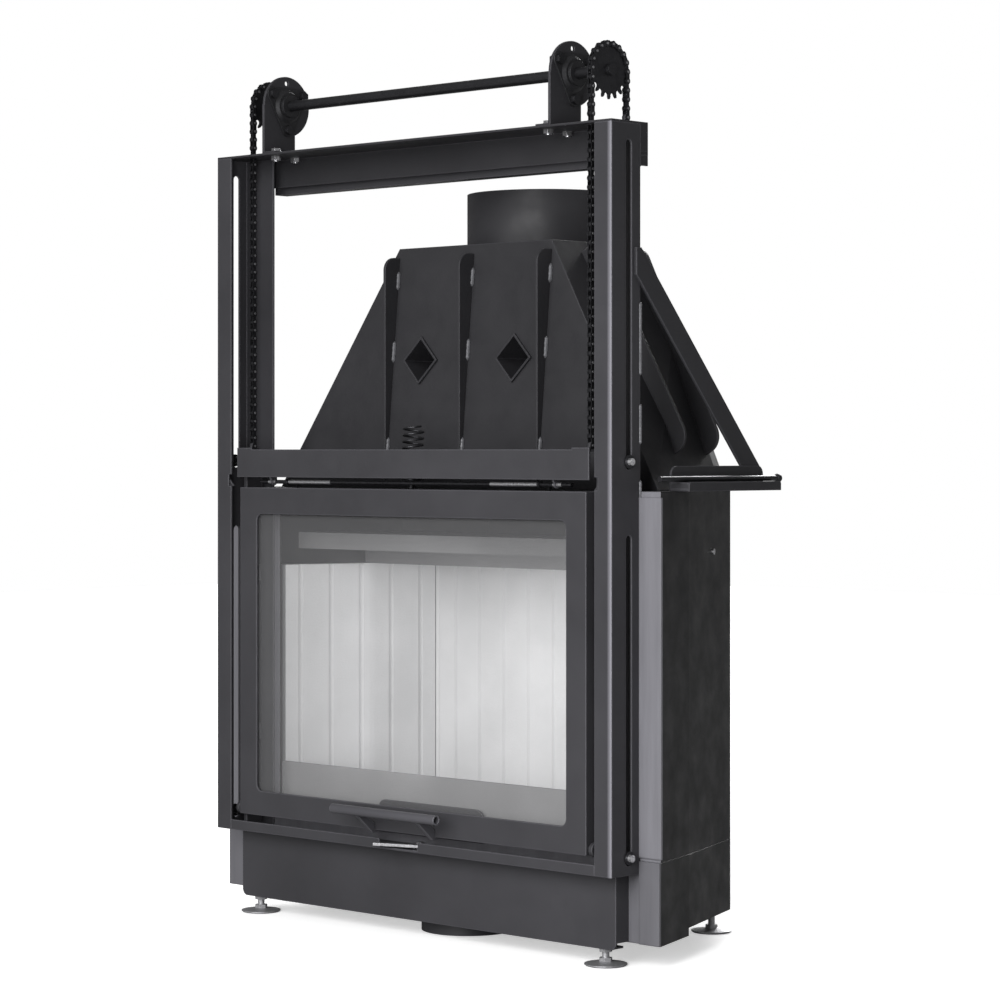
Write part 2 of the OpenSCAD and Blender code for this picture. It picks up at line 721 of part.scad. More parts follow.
module side_linings() color(lining_colour) both_sides()
    translate([(side_a[0] + side_b[0]) / 2, (side_a[1] + side_b[1]) / 2, hearth_z])
        rotate([0, 0, atan2(side_a[1] - side_b[1], side_a[0] - side_b[0])])
            lining_board(norm(side_a - side_b));

module hearth() color(lining_colour) plate_z(floor_z, hearth_z) intersection() {
    polygon(casing_plan(wall + 3));
    translate([-body_w, guard_y + guard_t]) square([2 * body_w, body_d]);
}

module log_guard() color(lining_colour)
    block([-mouth_w / 2, guard_y, floor_z], [mouth_w / 2, guard_y + guard_t, floor_z + 81]);

module log_stop() color(dark_steel) plate_y(casing_y - sheet, casing_y)
    translate([-108, floor_z - 7]) tab(216, 48, 14);

// Two baffle slabs over the lining, stepped up towards the front
module baffle() color(lining_colour) {
    z = hearth_z + lining_h;
    plate_z(z, z + lining_t) polygon([[300, 215], [262, back_lining_y + lining_t],
                                      [-262, back_lining_y + lining_t], [-300, 215]]);
    plate_z(z + lining_t, z + 2 * lining_t) polygon([[335, 105], [298, 228], [-298, 228], [-335, 105]]);
}

module casing_screws() color(bright_steel) both_sides() {
    y = 258;
    x = waist_x + (corner_x - waist_x) * (y - waist_y) / (corner_y - waist_y);
    translate([x, y, body_z - 88]) rotate([0, 0, atan2(waist_x - corner_x, corner_y - waist_y)])
        rotate([0, 90, 0]) cylinder(h = 2.5, d = 9);
}

// Hood

module hood_body(t, z0, z1) hull() {
    plate_z(z0, z0 + 1) polygon(hood_base(t));
    block([-hood_top_w / 2 + t, hood_top_y + t, z1 - 1], [hood_top_w / 2 - t, hood_back - t, z1]);
}

module duct(x, side, y0, y1) translate([x, 0, duct_z]) rotate([0, 45, 0])
    block([-side / 2, y0, -side / 2], [side / 2, y1, side / 2]);

module hood() color(steel) difference() {
    hood_body(0, body_z, hood_z);
    hood_body(wall, body_z - 1, hood_z - wall);
    rod_z(hood_z - 20, hood_z + 1, 0, flue_y, flue_d - 2 * sheet);
    for (x = [-duct_x, duct_x]) duct(x, duct_side, hood_y - 10, body_d + 10);
}

// Y of the hood's front wall at a height
function hood_front(z) = hood_y + (hood_top_y - hood_y) * (z - body_z) / (hood_z - body_z);

// Half width of the hood at a height, at the depth y
function hood_side(z, y) =
    let (base = hood_base_w / 2 - (y - hood_y) * (hood_base_w / 2 - corner_x + 5) / (corner_y - hood_y))
    base + (hood_top_w / 2 - base) * (z - body_z) / (hood_z - body_z);

// Stiffening ribs: three upright ones on the front wall, two on each sloping side
module hood_ribs() color(steel) difference() {
    union() {
        top = hood_z - 14;
        for (x = [-hood_top_w / 2, 0, hood_top_w / 2]) bar_x(x - rib_t / 2, x + rib_t / 2) {
            polygon([[rib_y, body_z + 8], [rib_y + 12, body_z + 8], [hood_top_y + 4, top],
                     [rib_y + 20, top], [rib_y, top - 20]]);
            translate([rib_y + 20, top - 20]) circle(r = 20);
        }
        both_sides() for (y = [205, 300]) plate_y(y - rib_t / 2, y + rib_t / 2) {
            low = body_z + 48;
            slope = atan2(hood_side(body_z, y) - hood_top_w / 2, hood_z - body_z);
            translate([hood_side(low, y), low]) rotate(slope) {
                translate([-20, 25]) square([60, (hood_z - low) / cos(slope) - 70]);
                translate([-20, 0]) square([35, 60]);
                translate([15, 25]) circle(r = 25);
                translate([-20, 60]) square([35, (hood_z - low) / cos(slope) - 80]);
                translate([15, (hood_z - low) / cos(slope) - 45]) circle(r = 25);
            }
        }
    }
    hood_body(0, body_z, hood_z);
    block([-300, 100, hood_z - 1], [300, 400, hood_z + 60]);
}

// Square tubes on edge, from the front wall through the hood to its back wall
module air_ducts() color(dark_steel) for (x = [-duct_x, duct_x]) difference() {
    duct(x, duct_side, hood_y - 6, body_d - 3);
    duct(x, duct_side - 2 * duct_wall, hood_y - 10, body_d);
    bar_x(-200, 200) polygon([[hood_front(duct_z - 80) - duct_rim, duct_z - 80],
                              [hood_front(duct_z + 80) - duct_rim, duct_z + 80], [hood_y - 40, duct_z + 80],
                              [hood_y - 40, duct_z - 80]]);
}

module flue_collar() color(steel) difference() {
    rod_z(hood_z, hood_z + flue_h, 0, flue_y, flue_d);
    rod_z(hood_z - 1, hood_z + flue_h + 1, 0, flue_y, flue_d - 2 * sheet);
    rod_x(-flue_d, flue_d, flue_y, damper_z, spindle_d + 2 * running);
}

module damper_plate() color(dark_steel) difference() {
    rod_z(damper_z - 1, damper_z + 1, 0, flue_y, flue_d - 2 * sheet - 6);
    rod_x(-flue_d, flue_d, flue_y, damper_z, spindle_d);
}

// The spindle ends just inside the collar's face, with a square socket for its key in the right end
module damper_spindle() color(dark_steel) difference() {
    reach = flue_d / 2 - 0.6;
    rod_x(-reach, reach, flue_y, damper_z, spindle_d);
    block([reach - 15, flue_y - spindle_d / 4, damper_z - spindle_d / 4],
          [reach + 1, flue_y + spindle_d / 4, damper_z + spindle_d / 4]);
}

// The coil grip: a wire coil that stands on a disc and a stub on the casing's top edge
coil_x = -43.5;
coil_y = 62;
coil_r = 14.8;
wire_d = 3;
coil_lead = 9.5;
coil_turns = 8;
coil_sides = 6;
coil_steps = 24;
coil_rings = coil_turns * coil_steps;

function coil_point(i) = let (a = 360 * i / coil_steps)
    [coil_r * cos(a), coil_r * sin(a), coil_lead * i / coil_steps];

function coil_ring(i) = let (a = 360 * i / coil_steps)
    [for (k = [0 : coil_sides - 1]) let (b = 360 * k / coil_sides)
        coil_point(i) + wire_d / 2 * [cos(a) * cos(b), sin(a) * cos(b), sin(b)]];

module coil_grip() color(dark_steel) translate([coil_x, coil_y, body_z]) {
    cylinder(h = 14, d = 10);
    translate([0, 0, 12]) cylinder(h = 3, d = 2 * coil_r + wire_d);
    points = [for (i = [0 : coil_rings]) each coil_ring(i)];
    start_cap = [[for (k = [coil_sides - 1 : -1 : 0]) k]];
    end_cap = [[for (k = [0 : coil_sides - 1]) coil_rings * coil_sides + k]];
    walls = [for (i = [0 : coil_rings - 1], k = [0 : coil_sides - 1])
        let (n = i * coil_sides, m = (k + 1) % coil_sides)
        each [[n + k, n + coil_sides + m, n + coil_sides + k], [n + k, n + m, n + coil_sides + m]]];
    translate([0, 0, 16]) multmatrix([[1, 0, 0.07, 0], [0, 1, 0, 0], [0, 0, 1, 0], [0, 0, 0, 1]])
        polyhedron(points, concat(start_cap, walls, end_cap));
}

// Ledge on the right side

// A trough on the casing's shoulder, its end walls guide the lock rod
module side_ledge() color(steel) difference() {
    union() {
        block([ledge_x, ledge_y, body_z], [strip_x, ledge_y + ledge_l, body_z + sheet]);
        for (x = [ledge_x, strip_x - sheet]) bar_x(x, x + sheet)
            translate([ledge_y, body_z]) tab(ledge_l, ledge_h, 12);
        for (y = [ledge_y, ledge_y + ledge_l - sheet])
            block([ledge_x + 1, y, body_z + 1], [strip_x - 1, y + sheet, body_z + ledge_h - 12]);
    }
    rod_y(ledge_y - 1, ledge_y + ledge_l + 1, lock_x, lock_z, rod_d + 2 * running);
}

module side_brace() color(steel) bar_x(half_w, half_w + brace_t)
    polygon([[48, 975], [58, 975], [ledge_y + ledge_l - 2, body_z + 32], [ledge_y + ledge_l - 2, body_z + 5],
             [ledge_y + ledge_l - 20, body_z + 5], [48, 938]]);

// The lock rod with its ball knob
module lock_rod() color(dark_steel) {
    rod_y(75, ledge_y + ledge_l + 14, lock_x, lock_z, rod_d);
    translate([lock_x, ledge_y + ledge_l + 15, lock_z]) sphere(d = 13);
}

module placed() translate([0, (handle_reach - body_d) / 2, feet_out]) children();

placed() left_upright();
placed() right_upright();
placed() top_beam();
placed() door_sill();
placed() door_catches();
placed() left_bracket();
placed() right_bracket();
placed() left_bearing();
placed() right_bearing();
placed() bracket_bolts();
placed() bearing_bolts();
placed() lift_shaft();
placed() left_sprocket();
placed() right_sprocket();
placed() left_front_chain();
placed() right_front_chain();
placed() left_rear_chain();
placed() right_rear_chain();
placed() left_chain_wrap();
placed() right_chain_wrap();
placed() counterweight();
placed() counterweight_lugs();
placed() carriage_bar();
placed() left_arm();
placed() right_arm();
placed() guide_bushes();
placed() guide_bolts();
placed() chain_anchors();
placed() hinge_pins();
placed() latch_bar();
placed() door_frame();
placed() door_glass();
placed() glass_seal();
placed() glass_clips();
placed() handle_tube();
placed() handle_arms();
placed() body_shell();
placed() base_shell();
placed() plinth();
placed() levelling_feet();
placed() air_collar();
placed() air_lever();
placed() lever_screw();
placed() back_lining();
placed() side_linings();
placed() hearth();
placed() log_guard();
placed() log_stop();
placed() baffle();
placed() casing_screws();
placed() hood();
placed() hood_ribs();
placed() air_ducts();
placed() flue_collar();
placed() damper_plate();
placed() damper_spindle();
placed() coil_grip();
placed() side_ledge();
placed() side_brace();
placed() lock_rod();
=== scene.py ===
"""Dresses the fireplace insert: finishes, bent sheets, wire grip, welds, washers, seal and studio."""
import math

import bmesh
import bpy
import numpy as np
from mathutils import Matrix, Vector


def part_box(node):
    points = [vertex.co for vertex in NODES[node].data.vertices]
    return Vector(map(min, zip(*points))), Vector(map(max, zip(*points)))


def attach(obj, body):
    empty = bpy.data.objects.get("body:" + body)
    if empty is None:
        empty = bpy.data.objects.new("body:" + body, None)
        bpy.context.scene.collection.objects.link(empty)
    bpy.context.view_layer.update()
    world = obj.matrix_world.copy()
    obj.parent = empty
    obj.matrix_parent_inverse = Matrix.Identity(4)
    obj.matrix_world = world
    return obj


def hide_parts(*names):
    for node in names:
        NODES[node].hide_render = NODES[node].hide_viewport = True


bl_info = {
    "name": "Fireplace insert with a lift door",
    "version": (1, 0, 0),
    "blender": (4, 5, 0),
    "location": "3D View > Sidebar > Insert",
    "description": "Finishes and small parts for a counterweighted fireplace insert",
    "category": "Object",
}

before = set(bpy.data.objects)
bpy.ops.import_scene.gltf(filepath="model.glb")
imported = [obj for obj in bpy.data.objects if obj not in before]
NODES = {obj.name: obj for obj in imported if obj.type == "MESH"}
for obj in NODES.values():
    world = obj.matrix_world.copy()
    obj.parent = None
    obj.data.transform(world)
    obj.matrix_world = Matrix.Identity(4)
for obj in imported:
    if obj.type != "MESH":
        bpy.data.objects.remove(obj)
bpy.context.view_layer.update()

# Depth of the lift frame's front plane and height of the drawing's floor, in the part's frame
FRONT = -0.198
FLOOR = 0.014

# The drawing's millimetres in a metre
MILLI = 1000.0

# Depth at which the hood's sides fold, behind their second rib
HOOD_FOLD = 0.312 + FRONT

# The part of a noise's range in which its tones run from dark to light
MIDDLE = (0.3, 0.7)

# How strongly paint mirrors the lights, and how far its sharp edges look rounded
PAINT_SPECULAR = 0.32
PAINT_ROUNDING = 0.0026


class InsertPaint(bpy.types.PropertyGroup):
    """Colours of the insert's finishes"""
    black: bpy.props.FloatVectorProperty(
        name="Black steel", description="Heat-resistant charcoal paint", subtype="COLOR",
        default=(0.03, 0.0295, 0.033), min=0.0, max=1.0)
    strip: bpy.props.FloatVectorProperty(
        name="Front strips", description="Grey primer on the casing's front strips", subtype="COLOR",
        default=(0.17, 0.168, 0.185), min=0.0, max=1.0)
    zinc: bpy.props.FloatVectorProperty(
        name="Zinc", description="Bolts, feet and levers", subtype="COLOR",
        default=(0.6, 0.6, 0.62), min=0.0, max=1.0)
    chain: bpy.props.FloatVectorProperty(
        name="Chain steel", description="Oiled chain, sprockets and shaft", subtype="COLOR",
        default=(0.055, 0.055, 0.06), min=0.0, max=1.0)
    lining: bpy.props.FloatVectorProperty(
        name="Lining", description="Pressed lining boards of the firebox", subtype="COLOR",
        default=(0.62, 0.62, 0.625), min=0.0, max=1.0)
    seal: bpy.props.FloatVectorProperty(
        name="Seal", description="Braided glass seal", subtype="COLOR",
        default=(0.03, 0.03, 0.03), min=0.0, max=1.0)


class InsertSizes(bpy.types.PropertyGroup):
    """Sizes of the small parts"""
    wire: bpy.props.FloatProperty(
        name="Grip wire", description="Diameter of the grip's wire", default=0.003, unit="LENGTH")
    grip_radius: bpy.props.FloatProperty(
        name="Grip radius", description="Radius of the coil at the wire's middle",
        default=0.0148, unit="LENGTH")
    grip_lead: bpy.props.FloatProperty(
        name="Grip pitch", description="Rise of the coil in each turn", default=0.0095, unit="LENGTH")
    bead: bpy.props.FloatProperty(
        name="Weld radius", description="Radius of the weld beads", default=0.0024, unit="LENGTH")
    washer: bpy.props.FloatProperty(
        name="Washer radius", description="Outer radius of the washers", default=0.0085, unit="LENGTH")
    seal_width: bpy.props.FloatProperty(
        name="Seal width", description="Width of the glass seal", default=0.0095, unit="LENGTH")


class InsertStudio(bpy.types.PropertyGroup):
    """Camera and lights"""
    lens: bpy.props.FloatProperty(
        name="Lens", description="Focal length in millimetres", default=108.9)
    azimuth: bpy.props.FloatProperty(
        name="Azimuth", description="Turn of the camera about the vertical",
        default=math.radians(43.59), subtype="ANGLE")
    key: bpy.props.FloatProperty(
        name="Key light", description="Strength of the front light", default=2.3)
    side: bpy.props.FloatProperty(
        name="Side light", description="Strength of the light on the right", default=0.12)
    room: bpy.props.FloatProperty(
        name="Room light", description="Strength of the light all round", default=0.2)
    rear: bpy.props.FloatProperty(
        name="Rear light", description="Strength of the light from behind", default=2.4)
    panel: bpy.props.FloatProperty(
        name="Panel", description="Power of the panel at the right", default=17.0)
    firebox: bpy.props.FloatProperty(
        name="Firebox light", description="Power of the lamp at the firebox's mouth", default=0.52)
    floor_glow: bpy.props.FloatProperty(
        name="Floor glow", description="Light of the white floor itself", default=0.5)


# Materials

def new_material(name):
    """An empty node tree with a Principled shader on its output."""
    made = bpy.data.materials.new(name)
    made.use_nodes = True
    tree = made.node_tree
    tree.nodes.clear()
    out = tree.nodes.new("ShaderNodeOutputMaterial")
    shader = tree.nodes.new("ShaderNodeBsdfPrincipled")
    tree.links.new(shader.outputs["BSDF"], out.inputs["Surface"])
    return made, tree, shader


def place(tree):
    """The object's own coordinates, in metres."""
    return tree.nodes.new("ShaderNodeTexCoord").outputs["Object"]


def place_along(tree, where, axis):
    """The coordinate along one axis."""
    axes = tree.nodes.new("ShaderNodeSeparateXYZ")
    tree.links.new(where, axes.inputs[0])
    return axes.outputs[axis]


def noise(tree, where, scale, detail=4.0, rough=0.55, stretch=(1.0, 1.0, 1.0)):
    """Fractal noise; stretch squeezes it along an axis for brushed or rolled grain."""
    mapping = tree.nodes.new("ShaderNodeMapping")
    mapping.inputs["Scale"].default_value = stretch
    tree.links.new(where, mapping.inputs["Vector"])
    made = tree.nodes.new("ShaderNodeTexNoise")
    made.inputs["Scale"].default_value = scale
    made.inputs["Detail"].default_value = detail
    made.inputs["Roughness"].default_value = rough
    tree.links.new(mapping.outputs["Vector"], made.inputs["Vector"])
    return made.outputs["Fac"]


def spread(tree, value, low, high, to_low=0.0, to_high=1.0):
    """Maps a value's range on another, and clamps it."""
    made = tree.nodes.new("ShaderNodeMapRange")
    made.inputs["From Min"].default_value = low
    made.inputs["From Max"].default_value = high
    made.inputs["To Min"].default_value = to_low
    made.inputs["To Max"].default_value = to_high
    tree.links.new(value, made.inputs["Value"])
    return made.outputs["Result"]


def combine(tree, operation, *values):
    """A value worked out from others, each a number or a socket, by an operation of the math node."""
    made = tree.nodes.new("ShaderNodeMath")
    made.operation = operation
    for socket, value in zip(made.inputs, values):
        if isinstance(value, bpy.types.NodeSocket):
            tree.links.new(value, socket)
        else:
            socket.default_value = value
    return made.outputs[0]


def blend_colours(tree, factor, first, second):
    """Mixes two colours, each a colour or a socket, by a factor."""
    made = tree.nodes.new("ShaderNodeMix")
    made.data_type = "RGBA"
    tree.links.new(factor, made.inputs["Factor"])
    for socket, colour in ((made.inputs[6], first), (made.inputs[7], second)):
        if isinstance(colour, bpy.types.NodeSocket):
            tree.links.new(colour, socket)
        else:
            socket.default_value = (*colour, 1.0)
    return made.outputs[2]


def shade(colour, factor):
    """A colour made lighter or darker."""
    return tuple(min(1.0, channel * factor) for channel in colour)


def toned(tree, value, colour, darker, lighter, span=MIDDLE):
    """A colour that runs from a darker to a lighter shade over a span of a noise's range."""
    return blend_colours(tree, spread(tree, value, *span), shade(colour, darker), shade(colour, lighter))


def coat(tree, shader, colour, value, roughness):
    """Gives the shader its colour, and a roughness between two limits that follows a noise."""
    tree.links.new(colour, shader.inputs["Base Color"])
    tree.links.new(spread(tree, value, *MIDDLE, *roughness), shader.inputs["Roughness"])


def relief(tree, shader, height, strength, distance, base=None):
    """Adds a bump from a height to the shader, over a given normal if there is one."""
    made = tree.nodes.new("ShaderNodeBump")
    made.inputs["Strength"].default_value = strength
    made.inputs["Distance"].default_value = distance
    tree.links.new(height, made.inputs["Height"])
    if base is not None:
        tree.links.new(base, made.inputs["Normal"])
    tree.links.new(made.outputs["Normal"], shader.inputs["Normal"])


def rounded_normal(tree, radius):
    """The surface's normal with its sharp edges rounded off."""
    bevel = tree.nodes.new("ShaderNodeBevel")
    bevel.samples = 4
    bevel.inputs["Radius"].default_value = radius
    return bevel.outputs["Normal"]


def worn_and_highlit_edge(tree, rounded):
    """A mask of the sharp edges: how far the rounded normal leans from the true one."""
    geometry = tree.nodes.new("ShaderNodeNewGeometry")
    dot = tree.nodes.new("ShaderNodeVectorMath")
    dot.operation = "DOT_PRODUCT"
    tree.links.new(rounded, dot.inputs[0])
    tree.links.new(geometry.outputs["Normal"], dot.inputs[1])
    return spread(tree, dot.outputs["Value"], 1.0, 0.86)


def paint_material(name, colour, edge=3.0, roughness=(0.42, 0.6), bend=None):
    """Matte heat paint over rolled steel: cloudy tone, fine orange peel, paler edges that are partly wear
    and partly a painted highlight, and a painted highlight along a long front bend. edge is how much paler
    the edges are. bend gives the X where the painted highlight on a long front bend starts, and where it
    ends."""
    speckle = 0.16
    bend_highlight_lift = 6.5
    behind_bend, on_bend = FRONT + 0.002, FRONT + 0.0005
    made, tree, shader = new_material(name)
    where = place(tree)
    cloudy = toned(tree, noise(tree, where, scale=5.0, detail=3.0), colour, 1 - speckle, 1 + speckle)
    rounded = rounded_normal(tree, PAINT_ROUNDING)
    # Paler sharp edges: partly paint wear, partly a painted highlight where the edges catch the light.
    worn_and_highlit = blend_colours(tree, worn_and_highlit_edge(tree, rounded), cloudy, shade(colour, edge))
    # Painted highlight: a much paler band on the front face along a long bend, where the rounded bend
    # catches the light.
    if bend is not None:
        front = spread(tree, place_along(tree, where, "Y"), behind_bend, on_bend)
        highlight_span = spread(tree, place_along(tree, where, "X"), *bend)
        bend_highlight = combine(tree, "MULTIPLY", front, highlight_span)
        worn_and_highlit = blend_colours(tree, bend_highlight, worn_and_highlit, shade(colour, bend_highlight_lift))
    coat(tree, shader, worn_and_highlit, noise(tree, where, scale=30.0), roughness)
    shader.inputs["Specular IOR Level"].default_value = PAINT_SPECULAR
    orange_peel = noise(tree, where, scale=900.0, detail=2.0)
    relief(tree, shader, orange_peel, strength=0.18, distance=0.0004, base=rounded)
    return made


def casing_material(name, colour, strip):
    """The casing's paint, with the grey front strips picked out by their depth."""
    behind_strip, on_strip = FRONT + 0.0608, FRONT + 0.0602
    made, tree, shader = new_material(name)
    where = place(tree)
    side = toned(tree, noise(tree, where, scale=4.0, detail=3.0), colour, 0.85, 1.15)
    streaks = noise(tree, where, scale=60.0, detail=3.0, rough=0.6, stretch=(1.0, 1.0, 0.06))
    grey = toned(tree, streaks, strip, 0.88, 1.1)
    front = spread(tree, place_along(tree, where, "Y"), behind_strip, on_strip)
    painted = blend_colours(tree, front, side, grey)
    coat(tree, shader, painted, noise(tree, where, scale=24.0), (0.4, 0.58))
    shader.inputs["Specular IOR Level"].default_value = PAINT_SPECULAR
    orange_peel = noise(tree, where, scale=850.0, detail=2.0)
    rounded = rounded_normal(tree, PAINT_ROUNDING)
    relief(tree, shader, orange_peel, strength=0.16, distance=0.0004, base=rounded)
    return made


def metal_material(name, colour, roughness, metallic, spots, stretch=(1.0, 1.0, 1.0)):
    """Bare or plated steel: fine drawn lines, and dull spots that cover it more or less."""
    made, tree, shader = new_material(name)
    where = place(tree)
    lines = noise(tree, where, scale=400.0, detail=3.0, rough=0.6, stretch=stretch)
    patches = noise(tree, where, scale=45.0)
    drawn_steel = toned(tree, lines, colour, 0.8, 1.15)
    dull = spread(tree, patches, 0.52, 0.75, 0.0, spots)
    spotted = blend_colours(tree, dull, drawn_steel, shade(colour, 0.35))
    coat(tree, shader, spotted, patches, roughness)
    shader.inputs["Metallic"].default_value = metallic
    relief(tree, shader, lines, strength=0.12, distance=0.0002, base=rounded_normal(tree, 0.0005))
    return made


def part_bright_material(name, dark, bright, bands):
    """Dark steel with bright bands; each band is a pair of limits on the distance from the middle plane."""
    made, tree, shader = new_material(name)
    where = place(tree)
    away = combine(tree, "ABSOLUTE", place_along(tree, where, "X"))
    inside = None
    for low, high in bands:
        band = combine(tree, "COMPARE", away, (low + high) / 2, (high - low) / 2)
        inside = band if inside is None else combine(tree, "MAXIMUM", inside, band)
    grain = noise(tree, where, scale=300.0, detail=3.0)
    oily = toned(tree, grain, dark, 0.7, 1.3)
    # The bright bands: plated zinc on the latch and the screws, and painted glints on the chain's pin ends.
    bright_band = toned(tree, grain, bright, 0.8, 1.1)
    coat(tree, shader, blend_colours(tree, inside, oily, bright_band), grain, (0.26, 0.45))
    shader.inputs["Metallic"].default_value = 0.9
    relief(tree, shader, grain, strength=0.15, distance=0.0002)
    return made


def iron_material(name, colour):
    """Cast or pressed dark iron: coarse grain with a satin sheen."""
    made, tree, shader = new_material(name)
    grain = noise(tree, place(tree), scale=500.0, detail=5.0, rough=0.7)
    coat(tree, shader, toned(tree, grain, colour, 0.7, 1.3), grain, (0.38, 0.55))
    shader.inputs["Metallic"].default_value = 0.55
    relief(tree, shader, grain, strength=0.3, distance=0.0006, base=rounded_normal(tree, 0.0012))
    return made


def lining_material(name, colour):
    """Pressed board: pale grey with mica flakes and small pits."""
    made, tree, shader = new_material(name)
    where = place(tree)
    flakes = tree.nodes.new("ShaderNodeTexVoronoi")
    flakes.inputs["Scale"].default_value = 260.0
    tree.links.new(where, flakes.inputs["Vector"])
    from_flake = flakes.outputs["Distance"]
    cloudy = toned(tree, noise(tree, where, scale=9.0, detail=5.0), colour, 0.88, 1.06, (0.25, 0.75))
    on_flake = spread(tree, from_flake, 0.0, 0.35, 0.28, 0.0)
    tree.links.new(blend_colours(tree, on_flake, cloudy, shade(colour, 0.72)), shader.inputs["Base Color"])
    shader.inputs["Roughness"].default_value = 0.85
    relief(tree, shader, from_flake, strength=0.3, distance=0.0006)
    return made


def seal_material(name, colour):
    """Braided rope: two sets of slanting strands."""
    slant = 0.8
    made, tree, shader = new_material(name)
    where = place(tree)
    waves = []
    for turn in (slant, -slant):
        mapping = tree.nodes.new("ShaderNodeMapping")
        mapping.inputs["Rotation"].default_value = (0.0, turn, 0.0)
        tree.links.new(where, mapping.inputs["Vector"])
        wave = tree.nodes.new("ShaderNodeTexWave")
        wave.inputs["Scale"].default_value = 130.0
        tree.links.new(mapping.outputs["Vector"], wave.inputs["Vector"])
        waves.append(wave.outputs["Fac"])
    lattice = combine(tree, "MAXIMUM", *waves)
    strands = blend_colours(tree, lattice, shade(colour, 0.5), shade(colour, 1.6))
    tree.links.new(strands, shader.inputs["Base Color"])
    shader.inputs["Roughness"].default_value = 0.9
    relief(tree, shader, lattice, strength=0.6, distance=0.0006)
    return made


def glass_material(name):
    """Clear ceramic glass with a faint haze of dust."""
    made, tree, shader = new_material(name)
    haze = noise(tree, place(tree), scale=7.0, detail=3.0)
    dust = blend_colours(tree, haze, (0.3, 0.3, 0.31), (0.36, 0.36, 0.37))
    coat(tree, shader, dust, haze, (0.03, 0.07))
    shader.inputs["Alpha"].default_value = 0.12
    shader.inputs["IOR"].default_value = 1.5
    return made


# Shapes

def grid_mesh(name, points, closed_u=True, closed_v=False):
    """A mesh from a grid of points of shape (rows, columns, 3), with quads between neighbours."""
    rows, columns = points.shape[:2]
    index = np.arange(rows * columns).reshape(rows, columns)
    across = np.roll(index, -1, axis=1) if closed_u else index[:, 1:]
    start = index if closed_u else index[:, :-1]
    if closed_v:
        a, b, c, d = start, across, np.roll(across, -1, axis=0), np.roll(start, -1, axis=0)
    else:
        a, b, c, d = start[:-1], across[:-1], across[1:], start[1:]
    quads = np.stack([a, b, c, d], axis=-1).reshape(-1, 4)
    mesh = bpy.data.meshes.new(name)
    mesh.from_pydata(points.reshape(-1, 3).tolist(), [], quads.tolist())
    mesh.polygons.foreach_set("use_smooth", np.full(len(mesh.polygons), True))
    mesh.update()
    return mesh


def field_values(items, field, kind, width=1):
    """The values of one field of all points, corners or faces, as an array."""
    found = np.empty(len(items) * width, kind)
    items.foreach_get(field, found)
    return found


def joined(name, meshes):
    """One mesh from several: points and faces one after the other, the faces' numbers moved up to match."""
    counts = [len(mesh.vertices) for mesh in meshes]
    points = np.concatenate([field_values(mesh.vertices, "co", float, 3) for mesh in meshes])
    corners = np.concatenate([field_values(mesh.loops, "vertex_index", int) for mesh in meshes])
    corners += np.repeat(np.cumsum(counts) - counts, [len(mesh.loops) for mesh in meshes])
    sides = np.concatenate([field_values(mesh.polygons, "loop_total", int) for mesh in meshes])
    made = bpy.data.meshes.new(name)
    made.vertices.add(sum(counts))
    made.loops.add(len(corners))
    made.polygons.add(len(sides))
    made.vertices.foreach_set("co", points)
    made.loops.foreach_set("vertex_index", corners)
    made.polygons.foreach_set("loop_start", np.cumsum(sides) - sides)
    made.polygons.foreach_set("use_smooth", np.full(len(sides), True))
    made.update(calc_edges=True)
    for mesh in meshes:
        bpy.data.meshes.remove(mesh)
    return made


def add_piece(name, mesh, material, body, smooth_angle=40.0):
    """Links a mesh as a piece that rides on a body, with its normals pointing outwards."""
    shell = bmesh.new()
    shell.from_mesh(mesh)
    bmesh.ops.remove_doubles(shell, verts=shell.verts, dist=1e-6)
    bmesh.ops.recalc_face_normals(shell, faces=shell.faces)
    shell.to_mesh(mesh)
    shell.free()
    piece = bpy.data.objects.new(name, mesh)
    bpy.context.scene.collection.objects.link(piece)
    mesh.materials.append(bpy.data.materials[material])
    mesh.set_sharp_from_angle(angle=math.radians(smooth_angle))
    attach(piece, body)
    return piece


def revolved(name, profile, centre, steps=40):
    """Turns a profile of (radius, height) pairs about the vertical through the centre."""
    profile = np.asarray(profile, float)
    turn = np.linspace(0.0, 2 * np.pi, steps, endpoint=False)
    radius, height = profile[:, 0, None], profile[:, 1, None]
    points = np.stack([radius * np.cos(turn), radius * np.sin(turn), height + 0 * turn], axis=-1)
    return grid_mesh(name, points + np.asarray(centre))


def swept(name, path, radii, sides=10):
    """A round tube along a path, closed at its ends: rings stand square to it, with radii that may vary."""
    path = np.asarray(path, float)
    ahead = np.gradient(path, axis=0)
    ahead /= np.linalg.norm(ahead, axis=1, keepdims=True)
    helper = np.where(np.abs(ahead[:, 2:3]) > 0.9, [[1.0, 0.0, 0.0]], [[0.0, 0.0, 1.0]])
    first = np.cross(ahead, helper)
    first /= np.linalg.norm(first, axis=1, keepdims=True)
    second = np.cross(ahead, first)
    turn = np.linspace(0.0, 2 * np.pi, sides, endpoint=False)
    radii = np.broadcast_to(np.asarray(radii, float), (len(path),))
    radii = np.concatenate([[0.0], radii, [0.0]])
    path, first, second = (np.vstack([rows[:1], rows, rows[-1:]]) for rows in (path, first, second))
    points = (path[:, None] + radii[:, None, None]
              * (first[:, None] * np.cos(turn)[:, None] + second[:, None] * np.sin(turn)[:, None]))
    return grid_mesh(name, points)


def shop(x, y, z):
    """A point in the drawing's millimetres, in the part's metres."""
    return np.array([x / MILLI, y / MILLI + FRONT, z / MILLI + FLOOR])


def drawn(corner):
    """A point in the part's metres, in the drawing's millimetres: the reverse of shop."""
    return np.asarray(corner) * MILLI - np.array([0.0, FRONT, FLOOR]) * MILLI


def rectangle(left, right, low, high):
    """The outline of an upright rectangle."""
    return [[left, low], [right, low], [right, high], [left, high]]


